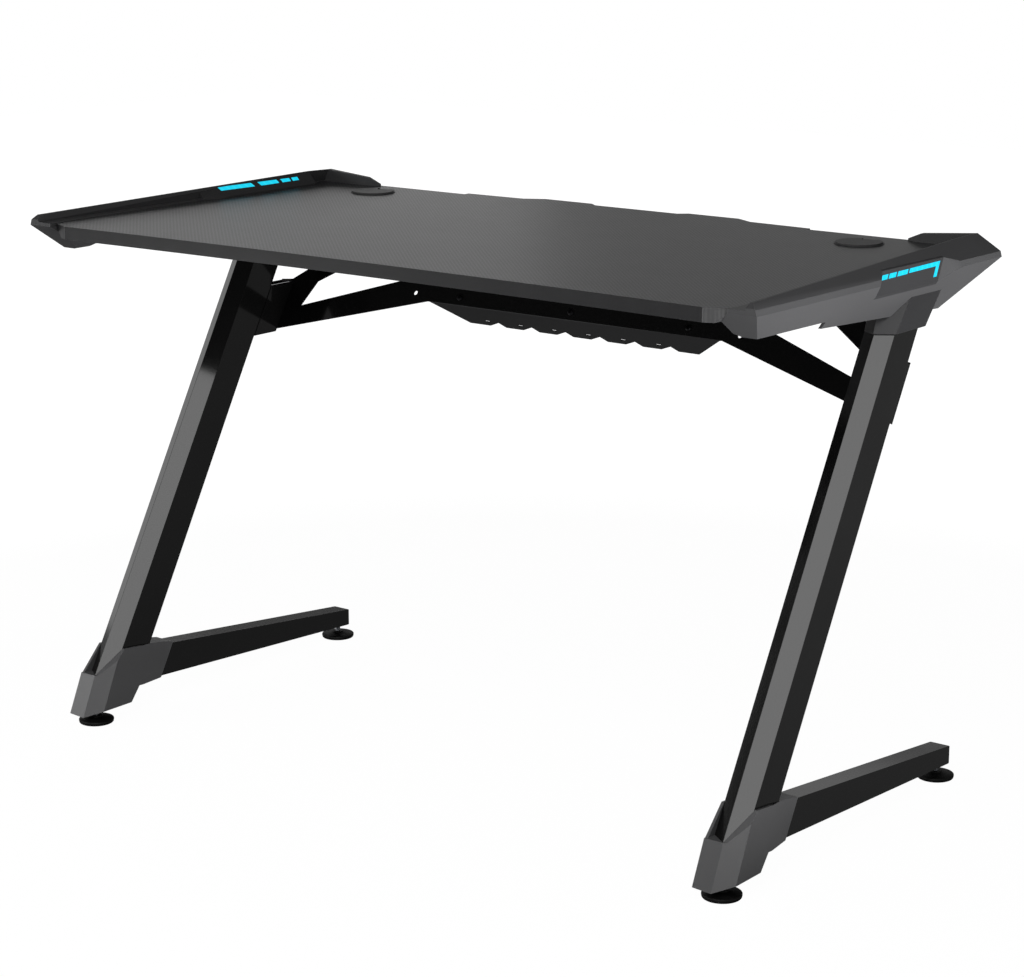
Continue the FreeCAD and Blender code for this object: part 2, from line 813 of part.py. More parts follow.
def top_collar(gap=0.0):
    """Outer form of the collar at the top of the leg: it flares outwards and is flush inside."""
    inner_x = leg_x - leg_width / 2 + top_cover_inner_inset

    def level(z, wall):
        points = leg_outline(z, wall + gap)
        rear = leg_rear_y(z) + top_cover_rear_wall + gap
        cheek = points[4].y + (inner_x - gap - points[4].x) * (points[0].y - points[4].y) / (
            points[0].x - points[4].x)
        return [
            points[0],
            points[1],
            Vector(points[1].x, rear, z),
            Vector(inner_x - gap, rear, z),
            Vector(inner_x - gap, cheek, z),
        ]
    return ruled([level(top_cover_bottom, top_cover_wall),
                  level(top_cover_top, top_cover_wall + top_cover_flare)])


def top_plate_block(gap=0.0):
    """Plate between the leg and the board."""
    front = leg_ridge_y(leg_top) - top_plate_margin
    rear = leg_rear_y(leg_top) + top_plate_margin
    return box(Vector(top_plate_inner_x - gap, front - gap, leg_top - gap),
               Vector(top_plate_outer_x + gap, rear + gap, board_bottom))


def wood_screw(x, y, head_top):
    """Pan head screw driven up into the board, its head below the clamped piece."""
    head = rod(Vector(x, y, head_top - screw_head_height), Z_AXIS, screw_head_radius, screw_head_height)
    shank = rod(Vector(x, y, head_top - overlap), Z_AXIS, screw_radius, board_bottom - head_top + screw_bite)
    return head.fuse(shank).removeSplitter()


def screw_drill(x, y, low):
    """Hole for a wood screw, from below the clamped piece into the board."""
    length = board_bottom - low + screw_bite + overlap
    return rod(Vector(x, y, low), Z_AXIS, screw_radius + screw_gap, length)


def brace_bolt(x, z, start):
    """Button head bolt from the rear of the brace, with its nut in front."""
    back = Vector(x, brace_y(z), z) + brace_normal * sheet
    head = rod(back, brace_normal, bolt_head_radius, bolt_head_height)
    shank = rod(back + brace_normal * overlap, brace_normal * -1, bolt_radius, bolt_length)
    nut = rod(back - brace_normal * start, brace_normal * -1, bolt_head_radius, bolt_head_height)
    return head.fuse(shank).fuse(nut).removeSplitter()


def build_board(drills):
    """Desktop board with its two cable holes and screw pilots."""
    cut = corner_cut(seat_gap)
    board = board_block().cut(front_arc()).cut(cut).cut(mirrored(cut))
    for side in (1, -1):
        board = board.cut(rod(Vector(side * grommet_x, grommet_y, board_bottom - spare), Z_AXIS,
                              grommet_hole_radius, board_thickness + 2 * spare))
    for drill in drills:
        board = board.cut(drill).cut(mirrored(drill))
    save("desktop_board", board)


def build_grommets():
    """Sleeve set in the board and the cap that turns in it."""
    centre = Vector(grommet_x, grommet_y, table_height)
    sleeve_radius = grommet_hole_radius - seat_gap
    bore_radius = sleeve_radius - grommet_wall
    flange = rod(centre, Z_AXIS, grommet_flange_radius, grommet_flange_height)
    tube = rod(centre - Z_AXIS * grommet_depth, Z_AXIS, sleeve_radius, grommet_depth + overlap)
    bore = rod(centre - Z_AXIS * (grommet_depth + spare), Z_AXIS, bore_radius, grommet_depth + 2 * spare)
    save_pair("grommet_sleeve", flange.fuse(tube).cut(bore).removeSplitter())

    spigot_radius = bore_radius - running_gap
    flange_top = centre + Z_AXIS * (grommet_flange_height + seat_gap)
    plate = rod(flange_top, Z_AXIS, grommet_flange_radius - cap_lip_inset, cap_height)
    skirt_start = flange_top - Z_AXIS * cap_spigot_depth
    skirt = rod(skirt_start, Z_AXIS, spigot_radius, cap_spigot_depth + overlap)
    hollow = rod(skirt_start - Z_AXIS * spare, Z_AXIS, spigot_radius - cap_spigot_wall,
                 cap_spigot_depth + spare)
    notch = rod(skirt_start - Z_AXIS * spare + Vector(0, spigot_radius, 0), Z_AXIS, cap_notch_radius,
                cap_spigot_depth + cap_height + 2 * spare)
    save_pair("grommet_cap", plate.fuse(skirt).cut(hollow).cut(notch).removeSplitter())


def build_legs():
    """Leg tubes with their welded base plates, the feet and their end caps."""
    outer = leg_bar(leg_bottom + base_plate_thickness, leg_top)
    inner = leg_bar(leg_bottom, leg_top + spare, -leg_wall)
    shoe_height = knee_top_side + spare
    upper = leg_bar(shoe_height, leg_top + spare, spare)
    kept = leg_space(leg_bottom, shoe_height, 0.0).fuse(upper)
    save_twins("leg_tube", outer.cut(inner).common(kept).removeSplitter())

    insert_hole = rod(Vector(leg_x, front_pad_y, 0), Z_AXIS, insert_radius, leg_bottom + insert_height)
    base_plate = leg_space(leg_bottom, leg_bottom + base_plate_thickness, 0.0).cut(insert_hole)
    save_twins("leg_base_plate", base_plate)

    start = leg_rear_y(0)
    ahead_of_rear = prism([
        Vector(0, start, 0),
        Vector(0, leg_rear_y(leg_top), leg_top),
        Vector(0, start - reach, leg_top),
        Vector(0, start - reach, 0),
    ], X_AXIS * reach)
    tube_end = foot_rear - end_cap_thickness
    tube = foot_bar(start, tube_end).cut(foot_bar(start - spare, foot_rear, -foot_wall))
    rear_hole = rod(Vector(leg_x, rear_pad_y, 0), Z_AXIS, insert_radius, foot_rear_bottom + spare)
    save_pair("foot_tube", tube.cut(ahead_of_rear).cut(rear_hole))

    cover = foot_bar(tube_end, foot_rear)
    plug = foot_bar(tube_end - end_cap_plug, tube_end + overlap, -foot_wall - seat_gap)
    save_pair("foot_end_cap", cover.fuse(plug).removeSplitter())


def build_feet():
    """Levelling pads, their studs and the welded nuts."""
    inserts = []
    places = (("front", front_pad_y, leg_bottom), ("rear", rear_pad_y, foot_rear_bottom + rear_insert_rise))
    for name, y, nut_bottom in places:
        floor = Vector(leg_x, y, 0)
        disc = rod(floor, Z_AXIS, pad_radius, pad_height)
        cone = Part.makeCone(pad_radius - pad_shoulder, pad_neck_radius, pad_neck_height - pad_height,
                             floor + Z_AXIS * pad_height, Z_AXIS)
        stud = rod(floor + Z_AXIS * stud_bottom, Z_AXIS, stud_radius, stud_top - stud_bottom)
        save_pair("foot_pad_" + name, disc.fuse(cone).cut(stud).removeSplitter())
        save_pair("foot_stud_" + name, stud)
        nut = rod(floor + Z_AXIS * nut_bottom, Z_AXIS, insert_radius - press_gap, insert_height)
        nut = nut.cut(rod(floor, Z_AXIS, stud_radius + running_gap, stud_top + spare))
        inserts += [nut, mirrored(nut)]
    save("foot_inserts", group(inserts))


def build_brace():
    """Rail, arms, brackets and the bolts between them."""
    rail_top = rail_bottom + rail_height
    right = [
        (rail_corner_x, rail_bottom),
        (brace_end_x, arm_bottom),
        (brace_end_x, arm_fork_top),
        (arm_fork_x, arm_fork_top),
        (rail_top_corner_x, rail_top),
    ]
    outline = right + [(-x, z) for x, z in reversed(right)]
    rail = brace_sheet(outline)
    bolts = []
    bracket_x = brace_end_x - bracket_width / 2
    lower_bolt = (bracket_x, arm_bottom + low_bolt_rise)
    upper_bolt = (bracket_x, arm_fork_top + high_bolt_rise)
    for side in (1, -1):
        rail = rail.cut(brace_hole(side * brace_hole_x, brace_hole_z, brace_hole_radius))
        rail = rail.cut(brace_hole(side * lower_bolt[0], lower_bolt[1], bolt_radius + screw_gap))

    arm = brace_sheet([
        (brace_end_x, arm_fork_top),
        (brace_end_x, upper_arm_end_z),
        (upper_arm_heel_x, upper_arm_heel_z),
        (upper_arm_outer_x, board_bottom),
        (upper_arm_inner_x, board_bottom),
        (upper_arm_knee_x, upper_arm_knee_z),
        (arm_fork_x, arm_fork_top),
    ])
    arm = arm.cut(brace_hole(upper_bolt[0], upper_bolt[1], bolt_radius + screw_gap))
    rear_y = brace_y(board_bottom)
    flange = box(Vector(upper_arm_inner_x, rear_y, board_bottom - sheet),
                 Vector(upper_arm_outer_x, rear_y + board_flange, board_bottom))
    trim = box(Vector(0, 0, board_bottom), Vector(reach, reach, table_height))
    arm = arm.fuse(flange).cut(trim).removeSplitter()
    flange_y = rear_y + board_flange - flange_screw_edge
    flange_screws = [(upper_arm_inner_x + flange_screw_inset, flange_y),
                     (upper_arm_outer_x - flange_screw_inset, flange_y)]
    drills = [screw_drill(x, y, board_bottom - sheet - spare) for x, y in flange_screws]
    for drill in drills:
        arm = arm.cut(drill)
    save_pair("brace_upper_arm", arm)
    screws = [wood_screw(x, y, board_bottom - sheet) for x, y in flange_screws]

    wall_y = bracket_wall / math.cos(math.atan(brace_lean))

    def bracket_outline(x, low, high, inset):
        return [
            Vector(x, leg_rear_y(low) + inset, low),
            Vector(x, brace_y(low) - inset, low),
            Vector(x, brace_y(high) - inset, high),
            Vector(x, leg_rear_y(high) + inset, high),
        ]
    left_x = brace_end_x - bracket_width
    bracket = prism(bracket_outline(left_x, bracket_bottom, bracket_top, 0.0), X_AXIS * bracket_width)
    inner = prism(bracket_outline(left_x + bracket_wall, bracket_bottom - spare,
                                  bracket_top + spare, wall_y),
                  X_AXIS * (bracket_width - 2 * bracket_wall))
    bracket = bracket.cut(inner)
    nut_reach = sheet + bracket_wall
    for x, z in (lower_bolt, upper_bolt):
        bracket = bracket.cut(brace_hole(x, z, bolt_radius + screw_gap))
        bolt = brace_bolt(x, z, nut_reach)
        bolts += [bolt, mirrored(bolt)]
    save_pair("brace_bracket", bracket)
    save("brace_bolts", group(bolts))
    return rail, drills, screws


def build_comb(rail):
    """Toothed cable comb folded back below the rail."""
    fold = Vector(0, brace_y(rail_bottom), rail_bottom) + brace_normal * sheet
    slope = Vector(0, 1, -1).normalize()
    length = comb_drop * math.sqrt(2)

    def on_sheet(x, down):
        return fold + X_AXIS * x + slope * down

    points = [on_sheet(-comb_top_x, 0), on_sheet(-comb_bottom_x, length)]
    hooks = [comb_offset - comb_notch_lead / 2 + comb_pitch * (i - (comb_notches - 1) / 2)
             for i in range(comb_notches)]
    for hook in hooks:
        points += [on_sheet(hook, length),
                   on_sheet(hook + comb_notch_lead, length - comb_notch_depth),
                   on_sheet(hook + comb_notch_lead + comb_notch_back, length)]
    points += [on_sheet(comb_bottom_x, length), on_sheet(comb_top_x, 0)]
    inward = Vector(0, 1, 1).normalize()
    comb = prism(points, inward * comb_sheet)
    rise = Vector(0, brace_lean, 1).normalize()
    flange_x = comb_top_x - comb_flange_taper
    flange = prism([fold + X_AXIS * x + rise * up for x, up in (
        (-comb_top_x, 0), (comb_top_x, 0), (flange_x, comb_flange), (-flange_x, comb_flange))],
        brace_normal * comb_sheet)
    comb = comb.fuse(flange)
    for hook in hooks:
        corner = on_sheet(hook - comb_slot_length / 2, length - comb_slot_inset) - inward * spare
        comb = comb.cut(prism([
            corner,
            corner + X_AXIS * comb_slot_length,
            corner + X_AXIS * comb_slot_length - slope * comb_slot_width,
            corner - slope * comb_slot_width,
        ], inward * (2 * spare)))
    screws = []
    height = rail_bottom + comb_screw_rise
    for x in (-comb_screw_x, 0.0, comb_screw_x):
        hole = brace_hole(x, height, screw_radius + screw_gap)
        rail = rail.cut(hole)
        comb = comb.cut(hole)
        front = Vector(x, brace_y(height), height)
        head = rod(front, brace_normal * -1, screw_head_radius, screw_head_height)
        shank = rod(front - brace_normal * overlap, brace_normal, screw_radius, comb_screw_length)
        screws.append(head.fuse(shank).removeSplitter())
    save("cable_comb", comb.removeSplitter())
    save("comb_screws", group(screws))
    save("cross_rail", rail)


def build_wings():
    """Wings with their light panels, light guides and light boards."""
    body = wing_body()
    wing = body.cut(board_block(seat_gap).cut(corner_cut()))
    wing = wing.cut(top_collar(seat_gap)).cut(leg_bar(skirt_bottom - spare, leg_top, seat_gap))
    wing = wing.cut(top_plate_block(seat_gap))
    wing = wing.cut(pocket_block()).cut(panel_block())
    bezel = body.common(panel_block()).cut(board_block(seat_gap))
    guides = outer_light_blocks()
    for guide in guides:
        bezel = bezel.cut(guide)
    save_pair("outer_light_bezel", bezel)
    save_pair("outer_light_guides", group(guides))

    led_front_x = pocket_x - bezel_thickness
    led_low = Vector(led_front_x - led_board_thickness, pocket_front_y + light_squares[0][0],
                     table_height - led_board_margin)
    led_high = Vector(led_front_x, pocket_front_y + light_bar[1], table_height + light_top_rise)
    save_pair("outer_led_board", box(led_low, led_high))
    slack = Vector(seat_gap, seat_gap, seat_gap)
    wing = wing.cut(box(led_low - slack, led_high + slack - X_AXIS * seat_gap))

    wedge = inner_light_wedge()
    wing = wing.cut(wedge)
    led_low = Vector(inner_bezel_back_x - inner_led_depth, wing_crown + inner_lights[0][0],
                     inner_light_bottom - led_board_thickness)
    led_high = Vector(inner_bezel_back_x, wing_crown + inner_lights[-1][1], inner_light_bottom)
    inner_board = box(led_low, led_high).common(wedge)
    bezel = wedge.cut(inner_board)
    guides = []
    for start, end in inner_lights:
        slab = box(Vector(0, wing_crown + start, inner_light_bottom),
                   Vector(wing_outer_x, wing_crown + end, inner_light_top))
        guides.append(slab.common(wedge))
        bezel = bezel.cut(guides[-1])
    save_pair("inner_light_bezel", bezel)
    save_pair("inner_light_guides", group(guides))
    save_pair("inner_led_board", inner_board)

    lip_bottom = board_bottom - under_lip
    screws = []
    drills = []
    rows = [board_front + row for row in wing_screw_front_rows]
    rows += [rear_side - row for row in wing_screw_rear_rows]
    for y in rows:
        drills.append(screw_drill(wing_screw_x, y, lip_bottom - spare))
        screw = wood_screw(wing_screw_x, y, lip_bottom)
        screws += [screw, mirrored(screw)]
        wing = wing.cut(drills[-1])
    save_pair("wing_shell", wing)
    save("wing_screws", group(screws))
    return drills


def build_covers():
    """Moulded covers of the leg."""
    save_twins("knee_cover", knee_shell())
    collar = top_collar().cut(leg_bar(top_cover_bottom - spare, top_cover_top + spare, seat_gap))
    save_pair("top_cover", collar)


def build_top_plates(flange_screws):
    """Plates that join the legs to the board, with all the screws under the board."""
    plate = top_plate_block()
    screws = list(flange_screws)
    drills = []
    low = plate.BoundBox.YMin + plate_screw_edge
    high = plate.BoundBox.YMax - plate_screw_edge
    first = top_plate_inner_x + plate_screw_edge
    for x in (first, first + plate_screw_pitch):
        for y in (low, high):
            drills.append(screw_drill(x, y, leg_top - spare))
            plate = plate.cut(drills[-1])
            screws.append(wood_screw(x, y, leg_top))
    save_pair("leg_top_plate", plate)
    save("board_screws", group(screws + [mirrored(screw) for screw in screws]))
    return drills


def main():
    """Build and write every node."""
    os.makedirs("parts", exist_ok=True)
    build_legs()
    build_feet()
    build_grommets()
    rail, flange_drills, flange_screws = build_brace()
    build_comb(rail)
    build_covers()
    wing_drills = build_wings()
    plate_drills = build_top_plates(flange_screws)
    build_board(wing_drills + plate_drills + flange_drills)


main()
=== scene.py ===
"""Looks of a Z-frame gaming desk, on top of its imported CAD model.

Each sub-assembly is a class that dresses its CAD nodes or replaces them with pieces in mesh code.
All sizes are in metres, in the frame of the CAD model: X to the right, Y to the rear, Z up.
"""

import logging
import math
from dataclasses import dataclass
from enum import Enum
from typing import Callable, Sequence

import bmesh
import bpy
from mathutils import Matrix, Vector


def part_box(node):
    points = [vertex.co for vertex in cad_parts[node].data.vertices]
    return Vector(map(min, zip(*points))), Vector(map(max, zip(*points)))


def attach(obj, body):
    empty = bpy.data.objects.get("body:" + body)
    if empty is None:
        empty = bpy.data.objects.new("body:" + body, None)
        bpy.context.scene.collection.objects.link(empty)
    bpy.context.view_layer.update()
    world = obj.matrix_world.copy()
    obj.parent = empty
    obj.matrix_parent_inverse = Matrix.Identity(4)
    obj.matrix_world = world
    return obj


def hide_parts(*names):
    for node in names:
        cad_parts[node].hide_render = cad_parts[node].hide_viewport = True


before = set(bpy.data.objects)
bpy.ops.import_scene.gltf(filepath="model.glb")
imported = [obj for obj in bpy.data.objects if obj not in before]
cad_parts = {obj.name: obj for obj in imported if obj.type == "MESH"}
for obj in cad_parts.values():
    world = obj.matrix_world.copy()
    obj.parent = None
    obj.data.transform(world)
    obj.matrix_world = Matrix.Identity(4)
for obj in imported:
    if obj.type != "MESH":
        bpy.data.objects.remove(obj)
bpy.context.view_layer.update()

log = logging.getLogger("desk")

Colour = tuple[float, float, float, float]
Span = tuple[float, float]

UP = Vector((0, 0, 1)).freeze()
WHITE: Colour = (1.0, 1.0, 1.0, 1.0)

# Distance between mesh points that count as one
SAME_POINT = 1e-6

# Least sine or cosine that the size of a cross recess is divided by
LEAST_DIVISOR = 1e-6

# Width of a blade of the cross recess as a share of the length of the cross
BLADE_SHARE = 0.3


def linear(value: int) -> float:
    """Linear share of a display value from 0 to 255, by the standard curve of screens."""
    share = value / 255
    return share / 12.92 if share <= 0.04045 else ((share + 0.055) / 1.055) ** 2.4


def tone(red: int, green: int, blue: int) -> Colour:
    """Scene colour for display values of 0 to 255."""
    return (linear(red), linear(green), linear(blue), 1.0)


class Side(Enum):
    """The two ends of the desk."""

    RIGHT = "right"
    LEFT = "left"


class Place(Enum):
    """The two pads under each foot."""

    FRONT = "front"
    REAR = "rear"


class Drive(Enum):
    """Form of the recess in a screw head."""

    CROSS = "cross"
    HEX = "hex"

    def radius(self, angle: float, size: float) -> float:
        """Distance from the axis to the recess wall.

        Args:
            angle: Direction around the axis, in radians.
            size: Half the length of the cross, or half the width across the flats.

        Returns:
            The distance in metres.
        """
        if self is Drive.HEX:
            sector = math.pi / 3
            return size / math.cos((angle + sector / 2) % sector - sector / 2)
        along = max(abs(math.cos(angle)), LEAST_DIVISOR)
        across = max(abs(math.sin(angle)), LEAST_DIVISOR)
        blade = size * BLADE_SHARE
        level = min(size / along, blade / across)
        upright = min(blade / along, size / across)
        return max(level, upright)


class Term:
    """A shader output that does arithmetic by adding nodes."""

    def __init__(self, graph: "Graph", socket: bpy.types.NodeSocket) -> None:
        """Wrap an output socket of one of the graph's nodes."""
        self.graph = graph
        self.socket = socket

    def _math(self, operation: str, *operands: "Term | float") -> "Term":
        """Result of one Math node."""
        node = self.graph.node("ShaderNodeMath", {"operation": operation}, dict(enumerate(operands)))
        return self.graph.term(node)

    def __add__(self, other: "Term | float") -> "Term":
        """This value plus the other."""
        return self._math("ADD", self, other)

    def __radd__(self, other: float) -> "Term":
        """The number plus this value."""
        return self._math("ADD", other, self)

    def __sub__(self, other: "Term | float") -> "Term":
        """This value minus the other."""
        return self._math("SUBTRACT", self, other)

    def __rsub__(self, other: float) -> "Term":
        """The number minus this value."""
        return self._math("SUBTRACT", other, self)

    def __mul__(self, other: "Term | float") -> "Term":
        """This value times the other."""
        return self._math("MULTIPLY", self, other)

    def __rmul__(self, other: float) -> "Term":
        """The number times this value."""
        return self._math("MULTIPLY", other, self)

    def __truediv__(self, other: "Term | float") -> "Term":
        """This value divided by the other."""
        return self._math("DIVIDE", self, other)

    def __rtruediv__(self, other: float) -> "Term":
        """The number divided by this value."""
        return self._math("DIVIDE", other, self)

    def floor(self) -> "Term":
        """Whole part."""
        return self._math("FLOOR", self)

    def fraction(self) -> "Term":
        """Part after the point."""
        return self._math("FRACT", self)

    def sine(self) -> "Term":
        """Sine of an angle in radians."""
        return self._math("SINE", self)

    def size(self) -> "Term":
        """Value without its sign."""
        return self._math("ABSOLUTE", self)

    def above(self, limit: "Term | float") -> "Term":
        """One where the value is over the limit, else zero."""
        return self._math("GREATER_THAN", self, limit)

    def ramp(self, low: float, high: float) -> "Term":
        """Zero at low and one at high, straight between and held outside."""
        node = self.graph.node("ShaderNodeMapRange", {"clamp": True}, {0: self, 1: low, 2: high})
        return self.graph.term(node)


Feed = Term | float | Sequence[float]


class Graph:
    """Node tree of a material or of the world, with the node that shades it."""

    def __init__(self, tree: bpy.types.NodeTree, shader: str) -> None:
        """Take a tree and the name of its shading node."""
        self.tree = tree
        self.shader = tree.nodes[shader]

    def feed(self, socket: bpy.types.NodeSocket, value: Feed) -> None:
        """Link a term to a socket, or set a constant on it.

        Args:
            socket: An input of a node in this tree.
            value: The term or the constant.
        """
        if isinstance(value, Term):
            self.tree.links.new(value.socket, socket)
        else:
            socket.default_value = value

    def node(self, kind: str, settings: dict[str, object],
             inputs: dict[str | int, Feed]) -> bpy.types.Node:
        """New node.

        Args:
            kind: Blender's type name of the node.
            settings: Properties, set before the inputs.
            inputs: Values or terms by socket name or number.

        Returns:
            The node.
        """
        node = self.tree.nodes.new(kind)
        for name, value in settings.items():
            setattr(node, name, value)
        for key, value in inputs.items():
            self.feed(node.inputs[key], value)
        return node

    def term(self, node: bpy.types.Node, output: str | int = 0) -> Term:
        """One output of a node, by its name or number."""
        return Term(self, node.outputs[output])

    def place(self) -> Term:
        """Position in the piece's own frame, which is the CAD frame at rest."""
        return self.term(self.node("ShaderNodeTexCoord", {}, {}), "Object")

    def parts(self, vector: Term) -> tuple[Term, Term, Term]:
        """X, Y and Z of a vector."""
        node = self.node("ShaderNodeSeparateXYZ", {}, {0: vector})
        return (self.term(node, 0), self.term(node, 1), self.term(node, 2))

    def facing(self) -> Term:
        """Direction of the true surface."""
        return self.term(self.node("ShaderNodeNewGeometry", {}, {}), "True Normal")

    def rays(self) -> tuple[Term, Term]:
        """How a surface is looked at.

        Returns:
            One where it is seen straight or through glass, and one where it is seen in a reflection.
        """
        path = self.node("ShaderNodeLightPath", {}, {})
        seen = self.term(path, "Is Camera Ray") + self.term(path, "Is Transmission Ray")
        return (seen, self.term(path, "Is Glossy Ray"))

    def noise(self, pitch: float, detail: float = 2.0, stretch: Sequence[float] = (1, 1, 1)) -> Term:
        """Soft noise from 0 to 1.

        Args:
            pitch: Size of a spot, in metres.
            detail: How many finer layers are added.
            stretch: How many times longer the spots are along each axis.

        Returns:
            The noise value.
        """
        scale = [1 / (pitch * times) for times in stretch]
        spots = self.node("ShaderNodeVectorMath", {"operation": "MULTIPLY"}, {0: self.place(), 1: scale})
        inputs = {"Vector": self.term(spots), "Scale": 1.0, "Detail": detail}
        return self.term(self.node("ShaderNodeTexNoise", {}, inputs))

    def blend(self, share: Term, low: Colour | Term, high: Colour | Term) -> Term:
        """Colour that goes from low to high with the share."""
        node = self.node("ShaderNodeMix", {"data_type": "RGBA"}, {0: share, 6: low, 7: high})
        return self.term(node, 2)

    def bump(self, height: Term, depth: float, strength: float) -> Term:
        """Normal of a surface raised by the height times the depth in metres."""
        inputs = {"Strength": strength, "Distance": depth, "Height": height}
        return self.term(self.node("ShaderNodeBump", {}, inputs))

    def shade(self, **inputs: Feed) -> None:
        """Set the shading node's inputs, named with underscores for spaces."""
        for name, value in inputs.items():
            self.feed(self.shader.inputs[name.replace("_", " ")], value)


class MaterialGraph(Graph):
    """Node tree of a new material, with its Principled surface."""

    def __init__(self, name: str) -> None:
        """Make the material.

        Args:
            name: Its name.
        """
        self.material = bpy.data.materials.new(name)
        self.material.use_nodes = True
        super().__init__(self.material.node_tree, "Principled BSDF")

    def finish(self, **inputs: Feed) -> bpy.types.Material:
        """Set the surface's inputs and return the material."""
        self.shade(**inputs)
        return self.material


@dataclass(frozen=True)
class WovenLaminate:
    """Foil on the board with a printed and embossed twill weave."""

    dark: Colour = tone(24, 24, 25)
    light: Colour = tone(50, 50, 51)
    edge: Colour = tone(28, 28, 29)
    flat_limit: float = 0.7
    tow: float = 0.00163
    repeat: int = 4
    over_limit: float = 0.49
    emboss: float = 0.00012
    emboss_strength: float = 0.25
    mottle: float = 0.05
    thread_share: float = 0.55
    over_share: float = 0.4
    mottle_share: float = 0.05
    roughness: float = 0.35
    over_dull: float = 0.05
    thread_shine: float = 0.05
    mottle_dull: float = 0.02

    def material(self) -> bpy.types.Material:
        """Weave on the flat faces and plain foil on the edges.

        Returns:
            The material.
        """
        graph = MaterialGraph("woven_laminate")
        x, y, _ = graph.parts(graph.place())
        across = x / self.tow
        along = y / self.tow
        step = (across.floor() + along.floor()) / self.repeat
        over = step.fraction().above(self.over_limit)
        warp = (across.fraction() * math.pi).sine()
        weft = (along.fraction() * math.pi).sine()
        thread = over * warp + (1 - over) * weft
        _, _, up = graph.parts(graph.facing())
        flat = up.size().above(self.flat_limit)
        mottle = graph.noise(self.mottle, detail=3.0)
        shade = thread * self.thread_share + over * self.over_share + mottle * self.mottle_share
        weave = graph.blend(shade, self.dark, self.light)
        dull = self.roughness + over * self.over_dull - thread * self.thread_shine
        return graph.finish(
            Base_Color=graph.blend(flat, self.edge, weave),
            Roughness=dull + mottle * self.mottle_dull,
            Normal=graph.bump(thread * flat, self.emboss, self.emboss_strength),
        )


@dataclass(frozen=True)
class MouldedGrain:
    """Moulded plastic with a fine spark-eroded grain."""

    name: str
    colour: Colour
    worn: Colour
    roughness: float = 0.42
    grain: float = 0.0006
    depth: float = 0.00003
    strength: float = 0.5
    flow: float = 0.09
    flow_stretch: tuple[int, int, int] = (1, 3, 1)
    flow_span: Span = (0.35, 0.75)
    flow_share: float = 0.5
    flow_dull: float = 0.08
    polish_span: Span = (0.52, 0.72)
    polish_share: float = 0.5
    polish_shine: float = 0.06

    def material(self) -> bpy.types.Material:
        """Grain, faint flow marks and slightly polished high spots.

        Returns:
            The material.
        """
        graph = MaterialGraph(self.name)
        grain = graph.noise(self.grain, detail=3.0)
        flow = graph.noise(self.flow, stretch=self.flow_stretch)
        polish = grain.ramp(*self.polish_span)
        shade = flow.ramp(*self.flow_span) * self.flow_share + polish * self.polish_share
        return graph.finish(
            Base_Color=graph.blend(shade, self.colour, self.worn),
            Roughness=self.roughness + flow * self.flow_dull - polish * self.polish_shine,
            Normal=graph.bump(grain, self.depth, self.strength),
        )


@dataclass(frozen=True)
class PowderCoat:
    """Stoved powder paint on steel, with its slight orange peel."""

    name: str
    colour: Colour
    sheen: Colour
    roughness: float = 0.07
    peel: float = 0.0022
    depth: float = 0.000003
    strength: float = 0.35
    patch: float = 0.12
    patch_span: Span = (0.3, 0.8)
    patch_share: float = 0.6
    patch_dull: float = 0.04
    fleck: float = 0.0005
    fleck_span: Span = (0.6, 0.75)
    fleck_share: float = 0.4
    fleck_dull: float = 0.02

    def material(self) -> bpy.types.Material:
        """Peel in the normal, and paint that is a little duller in patches.

        Returns:
            The material.
        """
        graph = MaterialGraph(self.name)
        peel = graph.noise(self.peel)
        patch = graph.noise(self.patch, detail=3.0)
        fleck = graph.noise(self.fleck, detail=1.0).ramp(*self.fleck_span)
        shade = patch.ramp(*self.patch_span) * self.patch_share + fleck * self.fleck_share
        return graph.finish(
            Base_Color=graph.blend(shade, self.colour, self.sheen),
            Roughness=self.roughness + patch * self.patch_dull + fleck * self.fleck_dull,
            Normal=graph.bump(peel, self.depth, self.strength),
        )


@dataclass(frozen=True)
class GlowGuide:
    """Milky light guide, lit from behind by a row of diodes."""

    lit: Colour = tone(0, 216, 250)
    hot: Colour = tone(44, 230, 255)
    strength: float = 0.9
    diode_pitch: float = 0.0125
    spot_span: Span = (0.2, 1.0)
    spot_share: float = 0.7
    milk: float = 0.003
    milk_share: float = 0.3
    milk_dark: Colour = tone(0, 60, 80)
    milk_light: Colour = tone(4, 80, 100)
    roughness: float = 0.3
    milk_dull: float = 0.1

    def material(self) -> bpy.types.Material:
        """Glow with a faint hot spot over each diode.

        Returns:
            The material.
        """
        graph = MaterialGraph("glow_guide")
        _, y, _ = graph.parts(graph.place())
        spot = (y * (2 * math.pi / self.diode_pitch)).sine().ramp(*self.spot_span)
        milk = graph.noise(self.milk)
        glow = spot * self.spot_share + milk * self.milk_share
        return graph.finish(
            Base_Color=graph.blend(milk, self.milk_dark, self.milk_light),
            Roughness=self.roughness + milk * self.milk_dull,
            Emission_Color=graph.blend(glow, self.lit, self.hot),
            Emission_Strength=self.strength,
        )


